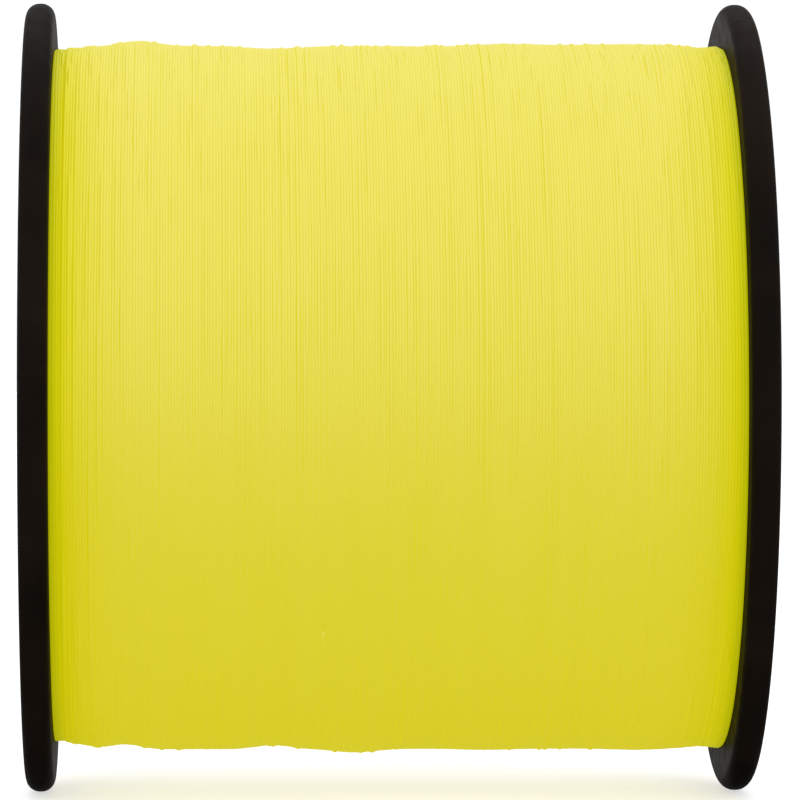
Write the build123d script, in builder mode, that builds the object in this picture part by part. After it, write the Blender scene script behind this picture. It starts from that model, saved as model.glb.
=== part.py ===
from build123d import *
import os
from math import acos, cos, degrees, radians, sin

os.makedirs("parts", exist_ok=True)

# A filled quarter-pound spool of nylon fishing line. The spool's axis is X, the origin is at the
# middle of the axis, and Z is up, so the spool rests on the rims of its two flanges. Lengths are
# in millimetres. "Outboard" is away from the middle of the spool along the axis.

# Overall sizes
flange_diameter = 72.0
spool_width = 66.0

# Flanges: one moulding, used at both ends
flange_thickness = 2.6
rim_flat = 0.2  # left between the two rounded corners of the rim
rim_band_width = 2.8  # raised band round the label's recess, measured in from the rim
recess_depth = 0.8
recess_edge_fillet = 0.3
hub_cup_depth = 6.0  # how far the hub's cup goes in from the floor of the label's recess
hub_cup_floor = 1.6
hub_wall = 1.55
spigot_wall = 1.6
hub_socket_length = 12.0  # how far the hub holds the arbor tube, in from the cup's floor
cup_corner_fillet = 0.5
rib_count = 6
rib_thickness = 1.4
rib_top_drop = 0.4  # the ribs stop this far below the recess's floor
rib_root_bury = 0.3  # how far a rib's ends run into the walls that it joins

# Keeper slit, which grips the loose end of the line
slit_line_gap = 0.06  # on each side of the line
slit_past_band = 1.2  # how far the slit's root lies inside the rim band
slit_relief_diameter = 0.9
slit_mouth_width = 2.0
slit_mouth_depth = 1.2
slit_angle = 30.0  # degrees above the horizontal, on the +Y side
cut_overrun = 0.5  # how far a cut runs past the faces that it goes through

# Barrel and arbor tube
barrel_diameter = 39.2
barrel_wall = 1.8
arbor_bore = 12.7
arbor_wall = 1.5
arbor_chamfer = 0.3
weld_gap = 0.1  # radial gap that the solvent weld fills round the spigots and the arbor tube

# Line
line_diameter = 0.25
fill_margin = 3.75  # how far the rims stand out past the wound line
winding_crown = 0.3  # how much lower the winding is at the flanges than in the middle
winding_shoulder_fillet = 0.5
winding_gap = 0.05  # between the winding's solid and what it is wound on and between

# Start of the line, anchored in the barrel's wall
anchor_hole_diameter = 0.8
anchor_offset = 8.0  # from the left flange's inner face
knot_diameter = 1.4

# Labels and the tab that holds the tail
label_thickness = 0.12
label_slit_gap = 0.35  # between a label's edge and the relief of the keeper slit
label_hole_gap = 0.6  # between a label's hole and what it goes round
tab_diameter = 12.0
tab_thickness = 0.1
tab_edge_gap = 1.7  # between the tab and the label's edge
tab_turn = 14.0  # degrees from the slit to the tab, round the axis
tab_line_gap = 0.04
tail_run_in = 3.2  # how far the tail runs straight in from the slit before it bends to the tab
tail_end_past_tab = 2.5
tail_lead = 1.1  # how far inboard of the flange the tail turns into the slit
tail_slit_bend = 0.7
tail_face_bend = 0.5

# Worked out from the sizes above
flange_radius = flange_diameter / 2
half_width = spool_width / 2
inner_face = half_width - flange_thickness
recess_face = half_width - recess_depth
cup_floor_face = recess_face - hub_cup_depth
cup_back_face = cup_floor_face - hub_cup_floor
rim_fillet = (flange_thickness - rim_flat) / 2
recess_radius = flange_radius - rim_band_width
slit_root = recess_radius - slit_past_band
barrel_radius = barrel_diameter / 2
spigot_radius = barrel_radius - barrel_wall - weld_gap
cup_radius = spigot_radius - spigot_wall
arbor_radius = arbor_bore / 2 + arbor_wall
hub_inner_radius = arbor_radius + weld_gap
hub_radius = hub_inner_radius + hub_wall
winding_radius = flange_radius - fill_margin
winding_face = inner_face - winding_gap
line_radius = line_diameter / 2
slit_width = line_diameter + 2 * slit_line_gap
label_radius = slit_root - slit_relief_diameter / 2 - label_slit_gap

# Flanges. The section is drawn as (distance along the axis, radius) and turned round the axis.
# side is -1 at the left end and +1 at the right.
for name, side in (("left_flange", -1), ("right_flange", 1)):
    with BuildPart() as flange:
        with BuildSketch(Plane.XY):
            with BuildLine():
                Polyline(
                    (side * recess_face, hub_inner_radius),
                    (side * recess_face, hub_radius),
                    (side * cup_floor_face, hub_radius),
                    (side * cup_floor_face, cup_radius),
                    (side * recess_face, cup_radius),
                    (side * recess_face, recess_radius),
                    (side * half_width, recess_radius),
                    (side * half_width, flange_radius),
                    (side * inner_face, flange_radius),
                    (side * inner_face, spigot_radius),
                    (side * cup_back_face, spigot_radius),
                    (side * cup_back_face, hub_radius),
                    (side * (cup_floor_face - hub_socket_length), hub_radius),
                    (side * (cup_floor_face - hub_socket_length), hub_inner_radius),
                    close=True,
                )
            section = make_face()
            rim_corners = section.vertices().group_by(Axis.Y)[-1]
            fillet(rim_corners, rim_fillet)
        revolve(axis=Axis.X)

        # Rounded corners at the cup's floor and at the edge of the raised rim band
        circles = flange.edges().filter_by(GeomType.CIRCLE)
        cup_corners = circles.filter_by(lambda e: abs(abs(e.center().X) - cup_floor_face) < 0.01)
        fillet(cup_corners, cup_corner_fillet)
        circles = flange.edges().filter_by(GeomType.CIRCLE)
        band_edge = circles.filter_by(
            lambda e: abs(abs(e.center().X) - half_width) < 0.01 and e.radius < recess_radius + 0.01
        )
        fillet(band_edge, recess_edge_fillet)

        # Ribs between the hub and the cup's wall
        rib_length = cup_radius - hub_radius + 2 * rib_root_bury
        rib_height = hub_cup_depth - rib_top_drop
        with BuildSketch(Plane.YZ.offset(side * cup_floor_face)):
            with PolarLocations((cup_radius + hub_radius) / 2, rib_count):
                Rectangle(rib_length, rib_thickness)
        extrude(amount=side * rib_height)

        # Keeper slit through the rim, with a round relief at its root and a flared mouth. The cut
        # runs past the rim and both faces.
        slit_length = flange_radius - slit_root + cut_overrun
        with BuildSketch(Plane.YZ.offset(side * (inner_face - cut_overrun))):
            with PolarLocations(slit_root, 1, slit_angle):
                Rectangle(slit_length, slit_width, align=(Align.MIN, Align.CENTER))
                Circle(slit_relief_diameter / 2)
            with PolarLocations(flange_radius - slit_mouth_depth, 1, slit_angle):
                Polygon(
                    (0, 0),
                    (2 * slit_mouth_depth, slit_mouth_width),
                    (2 * slit_mouth_depth, -slit_mouth_width),
                    align=None,
                )
        extrude(amount=side * (flange_thickness + 2 * cut_overrun), mode=Mode.SUBTRACT)
    flange.part.label = name
    export_step(flange.part, f"parts/{name}.step")

# Barrel, seated over both spigots and against both flanges
with BuildPart() as barrel:
    with BuildSketch(Plane.YZ.offset(-inner_face)):
        Circle(barrel_radius)
        Circle(barrel_radius - barrel_wall, mode=Mode.SUBTRACT)
    extrude(amount=2 * inner_face)
    # The hole that the line's start goes through
    with BuildSketch(Plane.XY):
        with Locations((-inner_face + anchor_offset, 0)):
            Circle(anchor_hole_diameter / 2)
    extrude(amount=barrel_diameter, mode=Mode.SUBTRACT)
barrel.part.label = "barrel"
export_step(barrel.part, "parts/barrel.step")

# Arbor tube, from one end of the spool to the other, with chamfered mouths for the spindle
with BuildPart() as arbor_tube:
    with BuildSketch(Plane.YZ.offset(-half_width)):
        Circle(arbor_radius)
        Circle(arbor_bore / 2, mode=Mode.SUBTRACT)
    extrude(amount=spool_width)
    mouths = arbor_tube.edges().filter_by(GeomType.CIRCLE)
    chamfer(mouths.filter_by(lambda e: e.radius < arbor_bore / 2 + 0.01), arbor_chamfer)
arbor_tube.part.label = "arbor_tube"
export_step(arbor_tube.part, "parts/arbor_tube.step")

# Wound line, as one ring with a slight crown
with BuildPart() as line_winding:
    with BuildSketch(Plane.XY):
        with BuildLine():
            Polyline(
                (winding_face, winding_radius - winding_crown),
                (winding_face, barrel_radius + winding_gap),
                (-winding_face, barrel_radius + winding_gap),
                (-winding_face, winding_radius - winding_crown),
            )
            ThreePointArc(
                (-winding_face, winding_radius - winding_crown),
                (0, winding_radius),
                (winding_face, winding_radius - winding_crown),
            )
        section = make_face()
        outer_corners = section.vertices().group_by(Axis.Y)[-1]
        fillet(outer_corners, winding_shoulder_fillet)
    revolve(axis=Axis.X)
line_winding.part.label = "line_winding"
export_step(line_winding.part, "parts/line_winding.step")

# Start of the line: a knot inside the barrel, on a short length that comes through its wall
knot_middle = barrel_radius - barrel_wall - knot_diameter / 2
with BuildPart() as line_start_knot:
    with Locations((-inner_face + anchor_offset, 0, knot_middle)):
        Sphere(knot_diameter / 2)
    with BuildSketch(Plane.XY.offset(knot_middle)):
        with Locations((-inner_face + anchor_offset, 0)):
            Circle(line_radius)
    extrude(amount=barrel_radius - knot_middle)
line_start_knot.part.label = "line_start_knot"
export_step(line_start_knot.part, "parts/line_start_knot.step")

# Labels, lying on the floors of their recesses. The left one covers the hub's cup, and the
# right one is a ring round it.
label_holes = (
    ("left_label", -1, arbor_radius + label_hole_gap),
    ("right_label", 1, cup_radius + label_hole_gap),
)
for name, side, hole_radius in label_holes:
    with BuildPart() as label:
        with BuildSketch(Plane.YZ.offset(side * recess_face)):
            Circle(label_radius)
            Circle(hole_radius, mode=Mode.SUBTRACT)
        extrude(amount=side * label_thickness)
    label.part.label = name
    export_step(label.part, f"parts/{name}.step")


def on_left_face(x, radius, angle):
    """Point at a distance from the axis and at an angle above +Y."""
    return (x, radius * cos(radians(angle)), radius * sin(radians(angle)))


# Tail of the line. It leaves the winding at a tangent, turns into the keeper slit, comes out on
# the left flange's face and lies on the label as far as the tab that holds it.
label_face = -(recess_face + label_thickness)
lie_x = label_face - line_radius
surface_radius = winding_radius - winding_crown + winding_gap + line_radius
slit_radius = slit_root + slit_relief_diameter / 2 + line_radius
lead_turn = degrees(acos(surface_radius / slit_radius))
lead_x = -(inner_face - tail_lead)
tab_angle = slit_angle + tab_turn
tab_radius = label_radius - tab_edge_gap - tab_diameter / 2
run_in_radius = slit_radius - tail_run_in
tab_middle = Vector(*on_left_face(lie_x, tab_radius, tab_angle))
run_in_end = Vector(*on_left_face(lie_x, run_in_radius, slit_angle))
tail_direction = (tab_middle - run_in_end).normalized()
tail_end = tab_middle + tail_direction * (tab_diameter / 2 + tail_end_past_tab)
with BuildPart() as line_tail:
    with BuildLine() as route:
        FilletPolyline(
            on_left_face(lead_x, surface_radius, slit_angle - lead_turn),
            on_left_face(lead_x, slit_radius, slit_angle),
            on_left_face(lie_x, slit_radius, slit_angle),
            run_in_end,
            tail_end,
            radius=[tail_slit_bend, tail_face_bend, tail_run_in],
        )
    with BuildSketch(Plane(route.line @ 0, z_dir=route.line % 0)):
        Circle(line_radius)
    sweep()
line_tail.part.label = "line_tail"
export_step(line_tail.part, "parts/line_tail.step")

# Paper tab over the tail, stuck to the label on both sides of the line and arched over it. Its
# section is drawn across the tail and extruded along it, then cut to a disc.
arch_inner = line_radius + tab_line_gap
arch_outer = arch_inner + tab_thickness
tab_reach = tab_diameter / 2
tab_origin = Vector(label_face, tab_middle.Y, tab_middle.Z)
across_tail = Plane(tab_origin, x_dir=tail_direction.cross(Vector(1, 0, 0)), z_dir=tail_direction)
with BuildPart() as tail_tab:
    with BuildSketch(across_tail):
        with BuildLine():
            Polyline(
                (arch_outer, line_radius),
                (arch_outer, tab_thickness),
                (tab_reach, tab_thickness),
                (tab_reach, 0),
                (arch_inner, 0),
                (arch_inner, line_radius),
            )
            ThreePointArc(
                (arch_inner, line_radius),
                (0, line_radius + arch_inner),
                (-arch_inner, line_radius),
            )
            Polyline(
                (-arch_inner, line_radius),
                (-arch_inner, 0),
                (-tab_reach, 0),
                (-tab_reach, tab_thickness),
                (-arch_outer, tab_thickness),
                (-arch_outer, line_radius),
            )
            ThreePointArc(
                (-arch_outer, line_radius),
                (0, line_radius + arch_outer),
                (arch_outer, line_radius),
            )
        make_face()
    extrude(amount=tab_reach, both=True)
    with BuildSketch(Plane(tab_origin, z_dir=(-1, 0, 0))):
        Circle(tab_reach)
    extrude(amount=2 * arch_outer, mode=Mode.INTERSECT)
tail_tab.part.label = "tail_tab"
export_step(tail_tab.part, "parts/tail_tab.step")
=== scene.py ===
import math

import bpy
import numpy as np
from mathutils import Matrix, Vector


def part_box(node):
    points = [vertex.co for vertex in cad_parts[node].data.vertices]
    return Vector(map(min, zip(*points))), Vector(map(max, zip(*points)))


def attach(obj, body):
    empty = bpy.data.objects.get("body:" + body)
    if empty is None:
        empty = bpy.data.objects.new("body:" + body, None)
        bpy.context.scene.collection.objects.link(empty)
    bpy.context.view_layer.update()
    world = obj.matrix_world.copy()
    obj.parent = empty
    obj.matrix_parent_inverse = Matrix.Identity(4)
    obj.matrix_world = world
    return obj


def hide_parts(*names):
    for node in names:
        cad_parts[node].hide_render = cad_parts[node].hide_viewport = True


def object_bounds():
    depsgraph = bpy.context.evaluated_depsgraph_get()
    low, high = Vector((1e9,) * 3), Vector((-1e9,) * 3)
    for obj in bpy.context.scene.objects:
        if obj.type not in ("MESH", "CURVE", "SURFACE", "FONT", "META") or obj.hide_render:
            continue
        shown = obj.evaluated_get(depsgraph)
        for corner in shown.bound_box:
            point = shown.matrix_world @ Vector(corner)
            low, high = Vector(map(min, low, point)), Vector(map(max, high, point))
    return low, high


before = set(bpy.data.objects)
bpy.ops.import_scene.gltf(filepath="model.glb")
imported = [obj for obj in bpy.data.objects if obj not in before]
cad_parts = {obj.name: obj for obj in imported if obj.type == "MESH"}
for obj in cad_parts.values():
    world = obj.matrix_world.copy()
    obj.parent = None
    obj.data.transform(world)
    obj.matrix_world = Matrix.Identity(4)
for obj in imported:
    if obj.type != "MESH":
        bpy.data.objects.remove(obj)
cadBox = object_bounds()
print("frame loaded:", len(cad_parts), "CAD nodes")

mm = 0.001
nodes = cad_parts


def clearSelection():
    if bpy.context.object and bpy.context.object.mode != "OBJECT":
        bpy.ops.object.mode_set(mode="OBJECT")
    bpy.ops.object.select_all(action="DESELECT")


def fromHex(code):
    # sRGB hex to the linear colour that a shader socket wants
    parts = [int(code[i:i + 2], 16) / 255 for i in (0, 2, 4)]
    return [c / 12.92 if c <= 0.04045 else ((c + 0.055) / 1.055) ** 2.4 for c in parts] + [1.0]


def addNode(owner, kind, settings=None, links=None, values=None, stops=()):
    # one node in a material or the world: its properties, its linked inputs, its plain input values,
    # and a ramp's stops as places and colours
    tree = owner.node_tree
    node = tree.nodes.new(kind)
    for key, value in (settings or {}).items():
        setattr(node, key, value)
    for key, value in (values or {}).items():
        node.inputs[key].default_value = value
    for key, source in (links or {}).items():
        tree.links.new(source, node.inputs[key])
    if stops:
        elements = node.color_ramp.elements
        elements.remove(elements[1])
        elements[0].position, elements[0].color = stops[0]
        for place, colour in stops[1:]:
            elements.new(place).color = colour
    return node


def newMaterial(name):
    material = bpy.data.materials.new(name)
    material.use_nodes = True
    return material


def setShader(material, links, values):
    # the shader's own linked inputs and plain values
    shader = material.node_tree.nodes["Principled BSDF"]
    for key, source in links.items():
        material.node_tree.links.new(source, shader.inputs[key])
    for key, value in values.items():
        shader.inputs[key].default_value = value
    return material


def turnAboutAxis(piece, degrees, along=0.0):
    # turns a mesh about the spool's axis and moves it along that axis
    c, s = math.cos(math.radians(degrees)), math.sin(math.radians(degrees))
    for vertex in piece.data.vertices:
        x, y, z = vertex.co
        vertex.co = (x + along, y * c - z * s, y * s + z * c)


def pickOnly(piece):
    clearSelection()
    bpy.context.view_layer.objects.active = piece
    piece.select_set(True)


cameraSetup = {
    "distance": 580 * mm,
    "azimuth": -1.9,  # degrees, a little to the left of square on
    "elevation": 0.6,
    "lens": 284.6,
    "aside": 1.15 * mm,  # how far right of the middle it is aimed
    "below": 0.23 * mm,  # and how far below
    "sensor": 36,
    "clip": (10 * mm, 50),
}


def addCamera():
    low, high = cadBox
    middle = [(low[i] + high[i]) / 2 for i in range(3)]
    a = math.radians(cameraSetup["azimuth"])
    e = math.radians(cameraSetup["elevation"])
    d = cameraSetup["distance"]
    place = (
        middle[0] + cameraSetup["aside"] + d * math.sin(a) * math.cos(e),
        middle[1] - d * math.cos(a) * math.cos(e),
        middle[2] - cameraSetup["below"] + d * math.sin(e),
    )
    bpy.ops.object.camera_add(location=place, rotation=(math.radians(90) - e, 0, a))
    camera = bpy.context.object
    camera.name = "studioCamera"
    camera.data.lens = cameraSetup["lens"]
    camera.data.sensor_width = cameraSetup["sensor"]
    camera.data.clip_start, camera.data.clip_end = cameraSetup["clip"]
    bpy.context.scene.camera = camera


clearSelection()
addCamera()
print("camera set")


line = {
    "thickness": 0.25,  # mm, as are the other lengths
    "flattening": 1.5,  # wound tight, a strand is this much wider than it is high
    "stepsPerTurn": 120,
    "turnsPerPass": 229.31,  # flange to flange, so that no two passes lie alike
    "passes": 4,  # an even number ends at the left flange
    "passJitter": 0.3,  # turns
    "dwell": 0.5,  # turns against a flange before the line comes back
    "sway": 0.02,  # how far the line wanders from its helix
    "swaySteps": 24,  # steps from one swing to the next
    "swayFade": 1.5,  # no sway this near to a flange
    "slide": 0.05,  # how far a turn slips sideways into a hollow
    "slideTries": 11,  # places that it tries
    "slideCost": 0.02,  # how much lower it has to lie for each mm that it slips
    "slideSmoothing": 10,  # steps
    "slideBlend": 14,  # steps over which it leaves the last turn's slip
    "lookAhead": 18,  # steps of the next turn that a turn is laid with
    "nesting": 0.35,  # how much of its thickness a turn adds where it crosses others
    "tautRounds": 40,  # passes over a turn to pull it tight
    "firstRadius": 31.3,
    "endX": -29.3,
    "endAngle": 20.47,  # degrees above +Y, where the tail leaves
    "endRadius": 32.12,
    "cell": 0.05,  # width of a column in the map of the wound surface
    "levelColumns": 40,  # columns and rows on each side that the map is smoothed over
    "levelRows": 6,
    "sightDepth": 0.03,  # a turn this far under the surface still shows
    "sightShare": 0.02,  # of a quarter turn that has to show for it to be kept
    "pieces": 5,
    "sides": 5,
    "mapFill": 0.9,  # how much of its row on the map a turn takes up
    "seed": 11,
}

# the wound surface at the outside of the turns, in mm
surfaceShape = {
    "radius": 32.2,
    "shoulder": 0.35,  # drop towards each flange
    "shoulderWidth": 3.0,
    "swellReach": 1.5,  # the higher, the less far a swell reaches round the spool
    "swells": [
        # along the axis, degrees above +Y, height, width
        (-22.7, 90, 0.45, 2.2),
        (-10.5, 95, -0.24, 3.2),
        (10.5, 85, 0.20, 3.6),
        (22.0, 88, 0.20, 8.0),
        (-3.0, -85, 0.32, 2.6),
        (-10.5, -90, -0.34, 2.2),
        (-24.0, -95, -0.45, 2.0),
        (9.0, -95, 0.10, 3.0),
        (22.5, -90, 0.12, 3.0),
        (-29.8, -90, -0.50, 2.4),
    ],
}
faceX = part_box("line_winding")[1].x / mm  # where the line meets the flange


def wantedRadius(x, angle):
    # x in mm and angle in degrees, arrays or numbers
    total = surfaceShape["radius"] - surfaceShape["shoulder"] * np.exp(
        -((faceX - np.abs(x)) / surfaceShape["shoulderWidth"]) ** 2)
    for place, where, height, width in surfaceShape["swells"]:
        around = np.clip(np.cos(np.radians(angle - where)), 0, 1) ** surfaceShape["swellReach"]
        total = total + height * around * np.exp(-((x - place) / width) ** 2)
    return total


def smoothed(values, half):
    # running mean over this many values on each side
    width = 2 * half + 1
    return np.convolve(np.pad(values, half, mode="edge"), np.ones(width) / width, "valid")


def helix(edge):
    # the line's place along the axis and its angle step, to and fro between the flanges
    rng = np.random.default_rng(line["seed"])
    steps = line["stepsPerTurn"]
    x = [-edge]
    for i in range(line["passes"]):
        turns = line["turnsPerPass"] + rng.uniform(-1, 1) * line["passJitter"]
        far = edge if i % 2 == 0 else -edge
        if i == line["passes"] - 1:
            far = line["endX"]
            turns += 0.5  # round to the tail's side
        t = (np.arange(round(turns * steps)) + 1) / round(turns * steps)
        x.extend(x[-1] + (far - x[-1]) * t)
        if i < line["passes"] - 1:
            x.extend([far] * round(line["dwell"] * steps))
    x = np.array(x)
    swings = rng.normal(0, 1, len(x) // line["swaySteps"] + 8)
    sway = np.interp(np.arange(len(x)) / line["swaySteps"], np.arange(len(swings)), swings)
    fade = np.clip((edge - np.abs(x)) / line["swayFade"], 0, 1)
    x = np.clip(x + sway * line["sway"] * fade, -edge, edge)
    last = round(line["endAngle"] / 360 * steps)
    slot = (np.arange(len(x)) - (len(x) - 1) + last) % steps
    return x, slot


def columnOf(places, columns):
    column = np.rint((places - columns[0]) / (columns[1] - columns[0])).astype(int)
    return np.clip(column, 0, len(columns) - 1)


def layLine():
    # The line goes on turn by turn. Each turn slips into the hollows and rests on what lies beneath.
    # The wound surface is kept as a map of radii, with a row for each step round and columns along it.
    steps = line["stepsPerTurn"]
    radius = line["thickness"] / 2
    edge = faceX - radius
    x, slot = helix(edge)
    cell = line["cell"]
    columns = np.arange(-edge - radius, edge + radius + cell, cell)
    surface = np.full((steps, len(columns)), line["firstRadius"])
    reach = int(radius / cell)
    window = np.arange(-reach, reach + 1)
    arch = np.sqrt(np.maximum(radius ** 2 - (window * cell) ** 2, 0))
    sag = math.cos(2 * math.pi / steps)
    shifts = np.linspace(-line["slide"], line["slide"], line["slideTries"])
    height = np.zeros(len(x))
    lastShift, lastHeight = 0.0, line["firstRadius"]

    def support(places, rows):
        # the columns under a strand at each place, and the radius that it rests at
        middle = np.rint((places - columns[0]) / cell).astype(int)
        cols = np.clip(middle[:, None] + window, 0, len(columns) - 1)
        return cols, (surface[rows[:, None], cols] + arch * line["nesting"]).max(1)

    for start in range(0, len(x), steps):
        stop = min(start + steps, len(x))
        far = min(stop + line["lookAhead"], len(x))
        rows = slot[start:far]
        here = x[start:far]
        # the shift that lets the turn lie lowest, changing slowly along it
        costs = []
        for shift in shifts:
            rest = support(np.clip(here + shift, -edge, edge), rows)[1]
            costs.append(smoothed(rest, line["slideSmoothing"]) + line["slideCost"] * abs(shift))
        shift = smoothed(shifts[np.argmin(costs, axis=0)], line["slideSmoothing"])
        shift = shift + (lastShift - shift[0]) * np.exp(-np.arange(len(shift)) / line["slideBlend"])
        here = np.clip(here + shift, -edge, edge)
        cols, rest = support(here, rows)
        # pulled tight, the line bridges the dips between what it rests on
        taut = np.concatenate([[lastHeight], rest])
        for _ in range(line["tautRounds"]):
            taut[1:-1] = np.maximum(rest[:-1], (taut[:-2] + taut[2:]) / 2 * sag)
        taut = taut[1:]
        kept = stop - start
        x[start:stop] = here[:kept]
        height[start:stop] = taut[:kept]
        lastShift, lastHeight = shift[kept - 1], taut[kept - 1]
        np.maximum.at(surface, (rows[:kept, None], cols[:kept]), taut[:kept, None] + arch)
    return x, slot, height, surface, columns


def levelled(x, slot, height, surface, columns):
    # the whole surface takes up its wanted shape, and each turn keeps its place in it
    steps = line["stepsPerTurn"]
    around = line["levelRows"]
    rows = np.stack([smoothed(row, line["levelColumns"]) for row in surface])
    wide = np.concatenate([rows[-around:], rows, rows[:around]])
    window = 2 * around + 1
    mean = sum(wide[i:i + steps] for i in range(window)) / window
    return height + wantedRadius(x, slot * 360 / steps) - mean[slot, columnOf(x, columns)]


def inSight(x, slot, height, surface, columns):
    # a turn that lies deep under the others can't be seen and is left out
    radius = line["thickness"] / 2
    seen = np.zeros(len(x), bool)
    for offset in (-0.8, -0.4, 0, 0.4, 0.8):
        top = height + radius * math.sqrt(1 - offset ** 2)
        seen |= top > surface[slot, columnOf(x + offset * radius, columns)] - line["sightDepth"]
    return seen


def shownRuns(seen):
    # unbroken runs of the line, in quarters of a turn, that have anything in sight
    span = line["stepsPerTurn"] // 4
    runs = []
    for start in range(0, len(seen) - 1, span):
        stop = min(start + span, len(seen) - 1)
        if seen[start:stop + 1].mean() < line["sightShare"]:
            continue
        if runs and runs[-1][1] == start:
            runs[-1][1] = stop
        else:
            runs.append([start, stop])
    return runs


def strandMesh(name, runs):
    # round strands along the runs of points, as one mesh with closed ends
    steps, sides = line["stepsPerTurn"], line["sides"]
    around = np.arange(sides)
    turn = around * 2 * math.pi / sides
    # each turn has its own row on the map: along the line, then round it
    rowOf = {}
    for first, run in runs:
        for number in range(first // steps, (first + len(run) - 2) // steps + 1):
            rowOf.setdefault(number, len(rowOf))
    margin = (1 - line["mapFill"]) / 2
    across = line["mapFill"] / sides / len(rowOf)
    points, quads, caps, quadMaps, capMaps = [], [], [], [], []
    base = 0
    for first, run in runs:
        n = len(run)
        ahead = np.gradient(run, axis=0)
        ahead /= np.linalg.norm(ahead, axis=1)[:, None]
        out = run * (0, 1, 1)
        out -= ahead * (out * ahead).sum(1)[:, None]
        out /= np.linalg.norm(out, axis=1)[:, None]
        side = np.cross(ahead, out) * line["flattening"]
        ring = out[:, None, :] * np.cos(turn)[:, None] + side[:, None, :] * np.sin(turn)[:, None]
        points.append((run[:, None, :] + ring * line["thickness"] / 2).reshape(-1, 3))
        near = base + np.arange(n - 1)[:, None] * sides + around
        far = base + np.arange(n - 1)[:, None] * sides + (around + 1) % sides
        quads.append(np.stack([near, far, far + sides, near + sides], axis=2).reshape(-1, 4))
        number = (first + np.arange(n - 1))[:, None]
        row = np.array([[rowOf[k]] for k in number[:, 0] // steps])
        u = (number % steps) / steps + np.zeros(sides)
        v = (row + margin + line["mapFill"] * around / sides) / len(rowOf)
        corners = [(u, v), (u, v + across), (u + 1 / steps, v + across), (u + 1 / steps, v)]
        quadMaps.append(np.stack([np.stack(c, axis=2) for c in corners], axis=2).reshape(-1, 2))
        for place, end in ((base, 0), (base + (n - 1) * sides, -1)):
            cap = list(range(place, place + sides))
            caps.append(cap[::-1] if end == 0 else cap)
            capMaps += [(u[end, 0], v[end, 0])] * sides
        base += n * sides
    data = bpy.data.meshes.new(name)
    data.from_pydata(np.concatenate(points) * mm, [], np.concatenate(quads).tolist() + caps)
    mapping = data.uv_layers.new(name="OFBake")
    mapping.data.foreach_set("uv", np.concatenate(quadMaps + [np.array(capMaps)]).ravel())
    data.update()
    data.shade_smooth()
    piece = bpy.data.objects.new(name, data)
    bpy.context.scene.collection.objects.link(piece)
    print(piece.name, len(piece.data.polygons), "faces")
    return piece


def sharedOut(runs, path):
    # the runs as lists of points, split into equal shares, one for each piece
    groups = [[] for _ in range(line["pieces"])]
    share = sum(b - a for a, b in runs) / line["pieces"]
    done = 0
    for a, b in runs:
        while a < b:
            at = min(int(done // share), line["pieces"] - 1)
            room = int(share * (at + 1) - done) + 1 if at < line["pieces"] - 1 else b - a
            stop = min(b, a + room)
            groups[at].append((a, path[a:stop + 1]))
            done += stop - a
            a = stop
    return groups


def windLine():
    x, slot, height, surface, columns = layLine()
    runs = shownRuns(inSight(x, slot, height, surface, columns))
    height = levelled(x, slot, height, surface, columns)
    steps = line["stepsPerTurn"]
    shown = sum(b - a for a, b in runs) // steps
    print("line laid:", len(x) // steps, "turns,", shown, "of them in sight")
    angle = np.radians(slot * 360 / steps)
    path = np.stack([x, height * np.cos(angle), height * np.sin(angle)], axis=1)
    # the last of the line runs up to where the tail begins
    last = math.radians(line["endAngle"])
    path[-1] = (line["endX"], line["endRadius"] * math.cos(last), line["endRadius"] * math.sin(last))
    return [strandMesh(f"wound_line_{i + 1}", group) for i, group in enumerate(sharedOut(runs, path))]


woundLine = windLine()


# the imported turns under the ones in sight
core = {
    "outer": 31.4,  # mm
    "barrelGap": 0.05,
    "segments": 144,
    "sharpAngle": 40,
}


def addCore():
    low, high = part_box("line_winding")
    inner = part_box("barrel")[1].z + core["barrelGap"] * mm
    clearSelection()
    bpy.ops.mesh.primitive_cylinder_add(
        vertices=core["segments"], radius=core["outer"] * mm, depth=high.x - low.x,
        end_fill_type="NGON", rotation=(0, math.radians(90), 0))
    bpy.ops.object.transform_apply(location=True, rotation=True, scale=True)
    piece = bpy.context.object
    piece.name = "wound_line_core"
    bpy.ops.object.mode_set(mode="EDIT")
    bpy.ops.mesh.select_mode(type="FACE")
    bpy.ops.mesh.select_all(action="DESELECT")
    bpy.ops.object.mode_set(mode="OBJECT")
    for face in piece.data.polygons:
        face.select = abs(face.normal.x) > 0.9
    bpy.ops.object.mode_set(mode="EDIT")
    bpy.ops.mesh.inset(thickness=core["outer"] * mm - inner)
    bpy.ops.mesh.bridge_edge_loops()
    bpy.ops.mesh.select_all(action="SELECT")
    bpy.ops.mesh.normals_make_consistent(inside=False)
    bpy.ops.object.mode_set(mode="OBJECT")
    bpy.ops.object.shade_smooth_by_angle(angle=math.radians(core["sharpAngle"]))
    return piece


coreRing = addCore()
print("core ring", len(coreRing.data.polygons), "faces")


# the same sizes as the CAD's flanges, in mm, with more steps round the rim
flange = {
    "thickness": 2.6,
    "band": 2.8,  # raised band round the outer face
    "recess": 0.8,
    "cupDepth": 6.0,
    "cupFloor": 1.6,
    "cupRadius": 16.1,
    "hubInner": 7.95,
    "hubOuter": 9.5,
    "socket": 12.0,
    "spigot": 17.7,
    "rimRound": 1.2,
    "cupRound": 0.5,
    "wallRound": 0.3,
    "edgeRound": 0.25,
    "innerRound": 0.15,
    "spigotRound": 0.4,
    "turnSteps": 240,
    "sharpAngle": 32,
}
ribs = {
    "count": 6,
    "thickness": 1.4,
    "topDrop": 0.4,  # below the recess
    "bury": 0.3,  # into the walls and floor that they join
    "round": 0.2,
}
slit = {
    "width": 0.37,
    "root": 32.0,
    "reliefDiameter": 0.9,
    "mouthWidth": 2.0,
    "mouthDepth": 1.2,
    "angle": 30.0,  # degrees above +Y
    "overrun": 1.0,  # how far the cutters stand out past the rim
}


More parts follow.
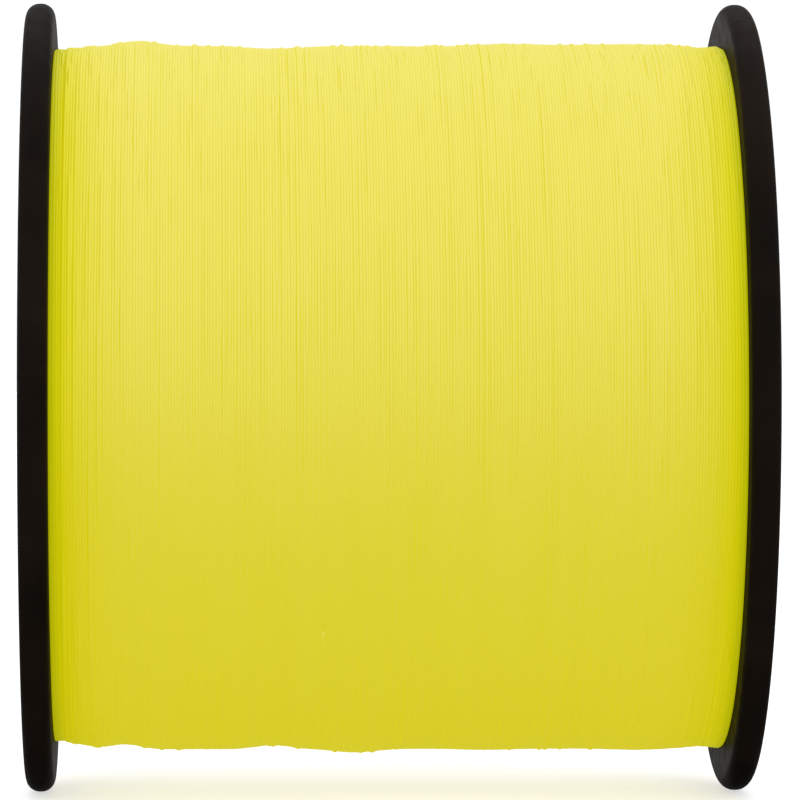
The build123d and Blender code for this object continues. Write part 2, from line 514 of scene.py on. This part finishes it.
def rimSize(node):
    # the rim's radius, and how far out along the axis its face is
    low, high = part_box(node)
    return high.z / mm, max(abs(low.x), abs(high.x)) / mm


def flangeOutline(side, rim, end):
    # corners of the section as (along the axis, radius), with the round that each one has
    face = end - flange["thickness"]
    recess = end - flange["recess"]
    cup = recess - flange["cupDepth"]
    back = cup - flange["cupFloor"]
    socket = cup - flange["socket"]
    corners = [
        (recess, flange["hubInner"], "innerRound"),
        (recess, flange["hubOuter"], "edgeRound"),
        (cup, flange["hubOuter"], "cupRound"),
        (cup, flange["cupRadius"], "cupRound"),
        (recess, flange["cupRadius"], "edgeRound"),
        (recess, rim - flange["band"], "innerRound"),
        (end, rim - flange["band"], "wallRound"),
        (end, rim, "rimRound"),
        (face, rim, "rimRound"),
        (face, flange["spigot"], "innerRound"),
        (back, flange["spigot"], "spigotRound"),
        (back, flange["hubOuter"], "wallRound"),
        (socket, flange["hubOuter"], "wallRound"),
        (socket, flange["hubInner"], "innerRound"),
    ]
    return [(side * x, r, flange[size]) for x, r, size in corners]


def roundedOutline(corners):
    # each corner becomes an arc that meets its two sides
    points = []
    for i, (x, r, size) in enumerate(corners):
        here = np.array((x, r))
        toLast = np.array(corners[i - 1][:2]) - here
        toNext = np.array(corners[(i + 1) % len(corners)][:2]) - here
        toLast /= np.linalg.norm(toLast)
        toNext /= np.linalg.norm(toNext)
        centre = here + (toLast + toNext) * size
        segments = 12 if size == flange["rimRound"] else 4
        for k in range(segments + 1):
            angle = math.radians(90) * k / segments
            points.append(centre - toNext * size * math.cos(angle) - toLast * size * math.sin(angle))
    return points


def turnFlange(name, rim, end, side):
    # a ring of points becomes the section, which is spun about the axis
    outline = roundedOutline(flangeOutline(side, rim, end))
    clearSelection()
    bpy.ops.mesh.primitive_circle_add(vertices=len(outline), radius=rim * mm, fill_type="NOTHING")
    piece = bpy.context.object
    piece.name = name + "_moulding"
    for vertex, (x, r) in zip(piece.data.vertices, outline):
        vertex.co = (x * mm, 0, r * mm)
    bpy.ops.object.mode_set(mode="EDIT")
    bpy.ops.mesh.select_all(action="SELECT")
    bpy.ops.mesh.spin(steps=flange["turnSteps"], angle=math.radians(360), center=(0, 0, 0), axis=(1, 0, 0))
    bpy.ops.mesh.select_all(action="SELECT")
    bpy.ops.mesh.remove_doubles(threshold=0.002 * mm)
    bpy.ops.mesh.normals_make_consistent(inside=False)
    bpy.ops.object.mode_set(mode="OBJECT")
    return piece


def slitCutters(rim, depth):
    # a round relief, a slit and a flared mouth, all along +Y
    clearSelection()
    bpy.ops.mesh.primitive_cylinder_add(
        vertices=32, radius=slit["reliefDiameter"] / 2 * mm, depth=depth,
        location=(0, slit["root"] * mm, 0), rotation=(0, math.radians(90), 0))
    cutters = [bpy.context.object]
    outside = rim + slit["overrun"]
    length = outside - slit["root"]
    mouth = slit["mouthDepth"] + slit["overrun"]
    for middle, long in ((slit["root"] + length / 2, length), (outside - mouth / 2, mouth)):
        clearSelection()
        bpy.ops.mesh.primitive_cube_add(
            size=1, location=(0, middle * mm, 0), scale=(depth, long * mm, slit["width"] * mm))
        cutters.append(bpy.context.object)
    wide = slit["width"] + (slit["mouthWidth"] - slit["width"]) * mouth / slit["mouthDepth"]
    for vertex in cutters[-1].data.vertices:
        if vertex.co.y > 0:
            vertex.co.z *= wide / slit["width"]
    return cutters


def cutSlit(piece, rim, end, side):
    # the keeper slit that holds the end of the line
    for cutter in slitCutters(rim, 2 * flange["thickness"] * mm):
        pickOnly(cutter)
        bpy.ops.object.transform_apply(location=True, rotation=True, scale=True)
        turnAboutAxis(cutter, slit["angle"], side * (end - flange["thickness"] / 2) * mm)
        cut = piece.modifiers.new("slit", "BOOLEAN")
        cut.object = cutter
        cut.operation = "DIFFERENCE"
        cut.solver = "EXACT"
        pickOnly(piece)
        bpy.ops.object.modifier_apply(modifier=cut.name)
        bpy.data.objects.remove(cutter)


def addRibs(piece, end, side):
    # the first rib is modelled and copied round the cup, each copy with its own mesh
    recess = end - flange["recess"]
    floor = recess - flange["cupDepth"] - ribs["bury"]
    top = recess - ribs["topDrop"]
    inner = flange["hubOuter"] - ribs["bury"]
    outer = flange["cupRadius"] + ribs["bury"]
    clearSelection()
    bpy.ops.mesh.primitive_cube_add(
        size=1, location=(side * (floor + top) / 2 * mm, (inner + outer) / 2 * mm, 0),
        scale=((top - floor) * mm, (outer - inner) * mm, ribs["thickness"] * mm))
    firstRib = bpy.context.object
    bpy.ops.object.transform_apply(location=True, rotation=True, scale=True)
    bpy.ops.object.mode_set(mode="EDIT")
    bpy.ops.mesh.select_all(action="SELECT")
    bpy.ops.mesh.bevel(offset=ribs["round"] * mm, segments=2, affect="EDGES")
    bpy.ops.object.mode_set(mode="OBJECT")
    parts = [firstRib]
    for i in range(1, ribs["count"]):
        rib = firstRib.copy()
        rib.data = firstRib.data.copy()
        bpy.context.scene.collection.objects.link(rib)
        turnAboutAxis(rib, 360 * i / ribs["count"])
        parts.append(rib)
    clearSelection()
    for part in parts + [piece]:
        part.select_set(True)
    bpy.context.view_layer.objects.active = piece
    bpy.ops.object.join()


def addFlange(name, side):
    rim, end = rimSize(name)
    piece = turnFlange(name, rim, end, side)
    cutSlit(piece, rim, end, side)
    addRibs(piece, end, side)
    pickOnly(piece)
    bpy.ops.object.shade_smooth_by_angle(angle=math.radians(flange["sharpAngle"]))
    print(piece.name, len(piece.data.polygons), "faces")
    return piece


flangePieces = [addFlange("left_flange", -1), addFlange("right_flange", 1)]


nylonTones = {
    "clear": "504B05",
    "cloudy": "534E14",
    "streak": (2.2, 22, 22),  # mm along the axis and round the spool
    "streakEdges": (0.32, 0.68),
    # painted glow: the colour and strength of a constant emission that lights the line with no lamp
    "glow": "F0E300",
    "paintedGlowStrength": 0.70,
    "reach": 7.0,  # mm from the flange
    # painted shade beside the flanges: share of the colour left at each distance from the flange, in mm
    "depth": [
        (7.0, (1.0, 1.0, 1.0, 1)),
        (4.2, (0.99, 0.99, 0.80, 1)),
        (2.8, (0.97, 0.98, 0.62, 1)),
        (1.4, (0.93, 0.95, 0.24, 1)),
        (0.8, (0.86, 0.90, 0.10, 1)),
        (0.0, (0.62, 0.70, 0.05, 1)),
    ],
}


def nylonMaterial():
    # Nylon 6 monofilament, extruded and drawn, dyed fluorescent yellow. Its glow is painted light: a
    # constant emission that keeps its grooves bright and flattens its shading. Its smooth skin lays a soft
    # white sheen over it.
    material = newMaterial("extruded fluorescent nylon monofilament")
    place = addNode(material, "ShaderNodeTexCoord")
    # drawn line varies in clearness, in streaks along it
    streakGrain = addNode(material, "ShaderNodeMapping", links={"Vector": place.outputs["Object"]},
                          values={"Scale": [1 / (size * mm) for size in nylonTones["streak"]]})
    streaks = addNode(material, "ShaderNodeTexNoise", links={"Vector": streakGrain.outputs["Vector"]},
                      values={"Scale": 1.0, "Detail": 3.0, "Roughness": 0.6})
    clear, cloudy = fromHex(nylonTones["clear"]), fromHex(nylonTones["cloudy"])
    tone = addNode(material, "ShaderNodeValToRGB", links={"Fac": streaks.outputs["Fac"]},
                   stops=list(zip(nylonTones["streakEdges"], (clear, cloudy))))
    # painted shade: beside the black flanges the colour darkens and deepens, standing in for the shade
    # that they cast and for the light that sinks into the clear line and is lost there
    along = addNode(material, "ShaderNodeSeparateXYZ", links={"Vector": place.outputs["Object"]})
    off = addNode(material, "ShaderNodeMath", settings={"operation": "ABSOLUTE"},
                  links={0: along.outputs["X"]})
    reach = nylonTones["reach"]
    near = addNode(material, "ShaderNodeMapRange", links={"Value": off.outputs["Value"]},
                   values={"From Min": (faceX - reach) * mm, "From Max": faceX * mm})
    depth = addNode(material, "ShaderNodeValToRGB", links={"Fac": near.outputs["Result"]},
                    stops=[(1 - distance / reach, colour) for distance, colour in nylonTones["depth"]])
    multiply = {"data_type": "RGBA", "blend_type": "MULTIPLY"}
    body = addNode(material, "ShaderNodeMix", settings=multiply, values={0: 1.0},
                   links={6: tone.outputs["Color"], 7: depth.outputs["Color"]})
    # painted glow: the emission colour, darkened near the flanges by the same painted shade
    glow = addNode(material, "ShaderNodeMix", settings=multiply, links={7: depth.outputs["Color"]},
                   values={0: 1.0, 6: fromHex(nylonTones["glow"])})
    # painted shade on the sheen: near the flanges the sheen takes the same ramp, so it is yellow and
    # dimmer there, standing in for light that reaches the line there only through its neighbours
    return setShader(
        material,
        {"Base Color": body.outputs[2], "Emission Color": glow.outputs[2],
         "Specular Tint": depth.outputs["Color"]},
        {"Emission Strength": nylonTones["paintedGlowStrength"], "Roughness": 0.6, "IOR": 1.53,
         "Specular IOR Level": 1.0})


blackTones = {
    "dark": "0E0A07",
    "light": "150F0B",
    "flow": 9 * mm,  # size of the patches where the melt met
    "scuff": 1.4 * mm,
    "roughness": (0.44, 0.56),
    "waveDepth": 0.05 * mm,
}


def blackPlasticMaterial():
    # General-purpose polystyrene, injection moulded and scuffed a little where hands hold the rim: a
    # warm black that gives back next to no light face on and a soft grey gleam at a glancing angle.
    material = newMaterial("scuffed black moulded polystyrene")
    place = addNode(material, "ShaderNodeTexCoord")
    flow = addNode(material, "ShaderNodeTexNoise", links={"Vector": place.outputs["Object"]},
                   values={"Scale": 1 / blackTones["flow"], "Detail": 2.0})
    colour = addNode(material, "ShaderNodeValToRGB", links={"Fac": flow.outputs["Fac"]},
                     stops=[(0.35, fromHex(blackTones["dark"])), (0.7, fromHex(blackTones["light"]))])
    scuffs = addNode(material, "ShaderNodeTexNoise", links={"Vector": place.outputs["Object"]},
                     values={"Scale": 1 / blackTones["scuff"], "Detail": 4.0})
    smooth, rough = blackTones["roughness"]
    gloss = addNode(material, "ShaderNodeMapRange", links={"Value": scuffs.outputs["Fac"]},
                    values={"From Min": 0.35, "From Max": 0.75, "To Min": smooth, "To Max": rough})
    # the moulded skin waves by a few microns
    skin = addNode(material, "ShaderNodeBump", links={"Height": flow.outputs["Fac"]},
                   values={"Strength": 0.08, "Distance": blackTones["waveDepth"]})
    return setShader(
        material,
        {"Base Color": colour.outputs["Color"], "Roughness": gloss.outputs["Result"],
         "Normal": skin.outputs["Normal"]},
        {"IOR": 1.59, "Specular IOR Level": 0.008})


satinTones = {
    "dark": "17110E",
    "light": "201914",
    "grain": 0.5 * mm,
    "grainDepth": 0.03 * mm,
}


def satinPlasticMaterial():
    # High-impact polystyrene, moulded in a plain tool: the same black, a shade lighter, with a fine
    # dull grain
    material = newMaterial("satin black moulded polystyrene")
    place = addNode(material, "ShaderNodeTexCoord")
    grain = addNode(material, "ShaderNodeTexNoise", links={"Vector": place.outputs["Object"]},
                    values={"Scale": 1 / satinTones["grain"], "Detail": 3.0})
    colour = addNode(material, "ShaderNodeValToRGB", links={"Fac": grain.outputs["Fac"]},
                     stops=[(0.0, fromHex(satinTones["dark"])), (1.0, fromHex(satinTones["light"]))])
    texture = addNode(material, "ShaderNodeBump", links={"Height": grain.outputs["Fac"]},
                      values={"Strength": 0.15, "Distance": satinTones["grainDepth"]})
    return setShader(
        material,
        {"Base Color": colour.outputs["Color"], "Normal": texture.outputs["Normal"]},
        {"Roughness": 0.42, "IOR": 1.59, "Specular IOR Level": 0.25})


inks = {"paper": "CDC9BC", "dark": "23282B", "yellow": "C9BF1A"}
labelPrint = {
    "radius": 36,  # mm that the rings are measured against
    "fibre": 0.6 * mm,
    "fibreDepth": 0.02 * mm,
    # rings of ink from the middle out: where each starts in mm, and its ink
    "left": [(0, "paper"), (10.2, "dark"), (10.8, "paper"), (12.2, "yellow"), (20.4, "paper"),
             (21.2, "dark"), (21.7, "paper"), (28.6, "dark"), (30.6, "yellow")],
    "right": [(0, "paper"), (18.2, "dark"), (18.7, "paper"), (20.0, "yellow"), (25.0, "paper"),
              (28.6, "dark"), (30.6, "yellow")],
}


def labelMaterial(name, bands):
    # Coated label paper, offset printed in flat rings and varnished: crisp colour under a thin gloss
    material = newMaterial(name)
    place = addNode(material, "ShaderNodeTexCoord")
    flat = addNode(material, "ShaderNodeVectorMath", settings={"operation": "MULTIPLY"},
                   links={0: place.outputs["Object"]}, values={1: (0, 1, 1)})
    radius = addNode(material, "ShaderNodeVectorMath", settings={"operation": "LENGTH"},
                     links={0: flat.outputs["Vector"]})
    share = addNode(material, "ShaderNodeMath", settings={"operation": "DIVIDE"},
                    links={0: radius.outputs["Value"]}, values={1: labelPrint["radius"] * mm})
    rings = addNode(material, "ShaderNodeValToRGB", links={"Fac": share.outputs["Value"]},
                    stops=[(start / labelPrint["radius"], fromHex(inks[ink])) for start, ink in bands])
    rings.color_ramp.interpolation = "CONSTANT"
    # paper fibres show through the ink as a slight mottle, under a millimetre across
    fibres = addNode(material, "ShaderNodeTexNoise", links={"Vector": place.outputs["Object"]},
                     values={"Scale": 1 / labelPrint["fibre"], "Detail": 4.0})
    mottle = addNode(material, "ShaderNodeMapRange", links={"Value": fibres.outputs["Fac"]},
                     values={"To Min": 0.9, "To Max": 1.04})
    inked = addNode(material, "ShaderNodeMix", settings={"data_type": "RGBA", "blend_type": "MULTIPLY"},
                    links={6: rings.outputs["Color"], 7: mottle.outputs["Result"]}, values={0: 1.0})
    tooth = addNode(material, "ShaderNodeBump", links={"Height": fibres.outputs["Fac"]},
                    values={"Strength": 0.2, "Distance": labelPrint["fibreDepth"]})
    return setShader(
        material,
        {"Base Color": inked.outputs[2], "Normal": tooth.outputs["Normal"]},
        {"Roughness": 0.45, "IOR": 1.5, "Coat Weight": 0.35, "Coat Roughness": 0.2})


tabTones = {
    "dark": "C9C5BA",
    "light": "D3D0C6",
    "fibre": 0.45 * mm,
    "fibreDepth": 0.03 * mm,
}


def tabMaterial():
    # Uncoated adhesive paper, die cut: matt white with a fibre mottle and no shine
    material = newMaterial("die-cut adhesive paper")
    place = addNode(material, "ShaderNodeTexCoord")
    fibres = addNode(material, "ShaderNodeTexNoise", links={"Vector": place.outputs["Object"]},
                     values={"Scale": 1 / tabTones["fibre"], "Detail": 5.0})
    colour = addNode(material, "ShaderNodeValToRGB", links={"Fac": fibres.outputs["Fac"]},
                     stops=[(0.3, fromHex(tabTones["dark"])), (0.7, fromHex(tabTones["light"]))])
    tooth = addNode(material, "ShaderNodeBump", links={"Height": fibres.outputs["Fac"]},
                    values={"Strength": 0.1, "Distance": tabTones["fibreDepth"]})
    return setShader(
        material,
        {"Base Color": colour.outputs["Color"], "Normal": tooth.outputs["Normal"]},
        {"Roughness": 0.75, "IOR": 1.5})


nylon = nylonMaterial()
blackPlastic = blackPlasticMaterial()
satinPlastic = satinPlasticMaterial()
leftPaper = labelMaterial("printed label paper with a wide ring", labelPrint["left"])
rightPaper = labelMaterial("printed label paper with a narrow ring", labelPrint["right"])
tabPaper = tabMaterial()


def putOn(piece, material, node):
    # the piece wears the material, is parented to the root body and stands for the CAD node, which is
    # hidden
    piece.data.materials.clear()
    piece.data.materials.append(material)
    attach(piece, "root")
    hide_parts(node)


for piece in woundLine + [coreRing]:
    putOn(piece, nylon, "line_winding")
for piece, name in zip(flangePieces, ("left_flange", "right_flange")):
    putOn(piece, blackPlastic, name)
# the CAD's own pieces
finishes = {
    "arbor_tube": satinPlastic,
    "barrel": satinPlastic,
    "line_tail": nylon,
    "line_start_knot": nylon,
    "left_label": leftPaper,
    "right_label": rightPaper,
    "tail_tab": tabPaper,
}
for name, material in finishes.items():
    nodes[name].material_slots[0].material = material
print("materials on")


studioFloor = {
    "size": 8,  # metres
    "drop": 0.05 * mm,  # below the rims
    "grey": (0.35, 0.35, 0.35, 1),
    "glow": 0.62,
}


def addFloor():
    clearSelection()
    bpy.ops.mesh.primitive_plane_add(
        size=studioFloor["size"], location=(0, 0, cadBox[0][2] - studioFloor["drop"]))
    floor = bpy.context.object
    floor.name = "studioFloor"
    floor.data.materials.append(setShader(newMaterial("pale studio floor"), {}, {
        "Base Color": studioFloor["grey"], "Roughness": 0.6,
        "Emission Color": (1, 1, 1, 1), "Emission Strength": studioFloor["glow"]}))
    # the line's sheen comes from overhead, so the floor is kept out of it
    floor.visible_glossy = False


frontFill = {
    "place": (-0.2, -1.1, 0.35),  # metres
    "size": 0.9,
    "power": 1.0,  # watts
}


def addLamp():
    clearSelection()
    bpy.ops.object.light_add(type="AREA", location=frontFill["place"])
    lamp = bpy.context.object
    lamp.name = "frontFill"
    lamp.data.shape = "SQUARE"
    lamp.data.size = frontFill["size"]
    lamp.data.energy = frontFill["power"]
    lamp.rotation_euler = (-lamp.location).to_track_quat("-Z", "Y").to_euler()


# how bright the room is, by the sine of the angle above the horizon: lamps overhead and behind the
# viewer, a plain wall behind the spool
room = {
    "front": [(-0.5, 0.03), (-0.12, 0.2), (-0.03, 0.55), (0.5, 1.0)],
    "back": [(-0.5, 0.03), (-0.12, 0.2), (-0.03, 0.55), (0.08, 0.55), (0.3, 0.25), (0.9, 1.0)],
    "backFrom": 0.6,  # how far round to the back the wall is all there is
    "strength": 1.9,
}


def addRoom():
    world = bpy.data.worlds.new("studio")
    bpy.context.scene.world = world
    world.use_nodes = True
    background = world.node_tree.nodes["Background"]
    toward = addNode(world, "ShaderNodeTexCoord")
    parts = addNode(world, "ShaderNodeSeparateXYZ", links={"Vector": toward.outputs["Generated"]})
    height = addNode(world, "ShaderNodeMapRange", links={"Value": parts.outputs["Z"]},
                     values={"From Min": -1.0})
    behind = addNode(world, "ShaderNodeMapRange", settings={"interpolation_type": "SMOOTHSTEP"},
                     links={"Value": parts.outputs["Y"]}, values={"From Max": room["backFrom"]})
    walls = []
    for side in ("front", "back"):
        stops = [((1 + rise) / 2, (share, share, share, 1)) for rise, share in room[side]]
        wall = addNode(world, "ShaderNodeValToRGB", links={"Fac": height.outputs["Result"]}, stops=stops)
        wall.color_ramp.interpolation = "EASE"
        walls.append(wall.outputs["Color"])
    both = addNode(world, "ShaderNodeMix", settings={"data_type": "RGBA"},
                   links={0: behind.outputs["Result"], 6: walls[0], 7: walls[1]})
    world.node_tree.links.new(both.outputs[2], background.inputs["Color"])
    background.inputs["Strength"].default_value = room["strength"]


addFloor()
addLamp()
addRoom()
bpy.context.scene.view_settings.view_transform = "Standard"
print("floor and lights set")
